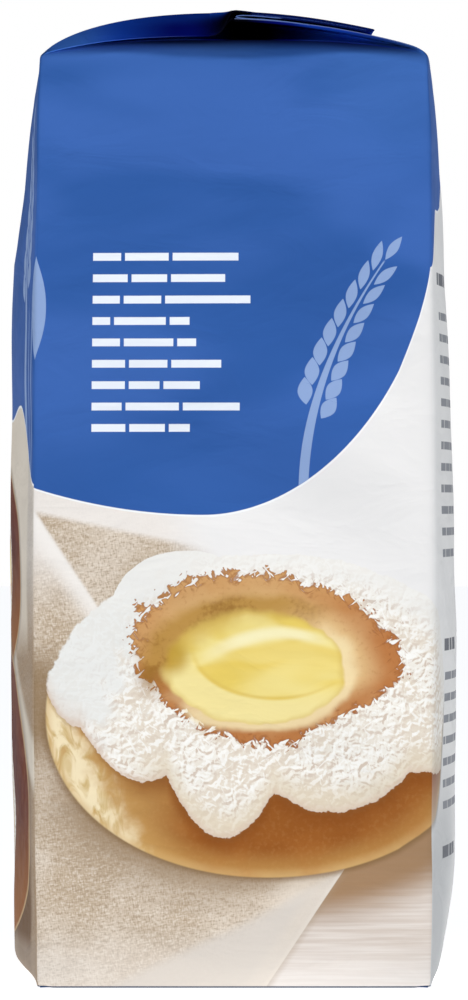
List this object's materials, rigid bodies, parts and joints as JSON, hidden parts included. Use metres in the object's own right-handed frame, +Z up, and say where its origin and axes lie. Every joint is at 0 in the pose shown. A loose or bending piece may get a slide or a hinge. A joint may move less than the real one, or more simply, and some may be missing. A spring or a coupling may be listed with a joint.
{
  "type": "paper bag of bun flour mix",
  "caption": "Full block-bottom paper bag of flour mix with a folded-down top and bulging sides, standing on its flat base.",
  "frame": {"origin": "middle of the flat base", "axes": "+Z up; -Y out of the narrow side that the picture shows; +X towards the side on which the top is folded down"},
  "size_m": [0.0879, 0.1148, 0.1866],
  "materials": {
    "printed_paper": "coated printed paper with a soft sheen"
  },
  "bodies": {
    "root": {"flour_bag": "printed_paper"}
  },
  "joints": []
}
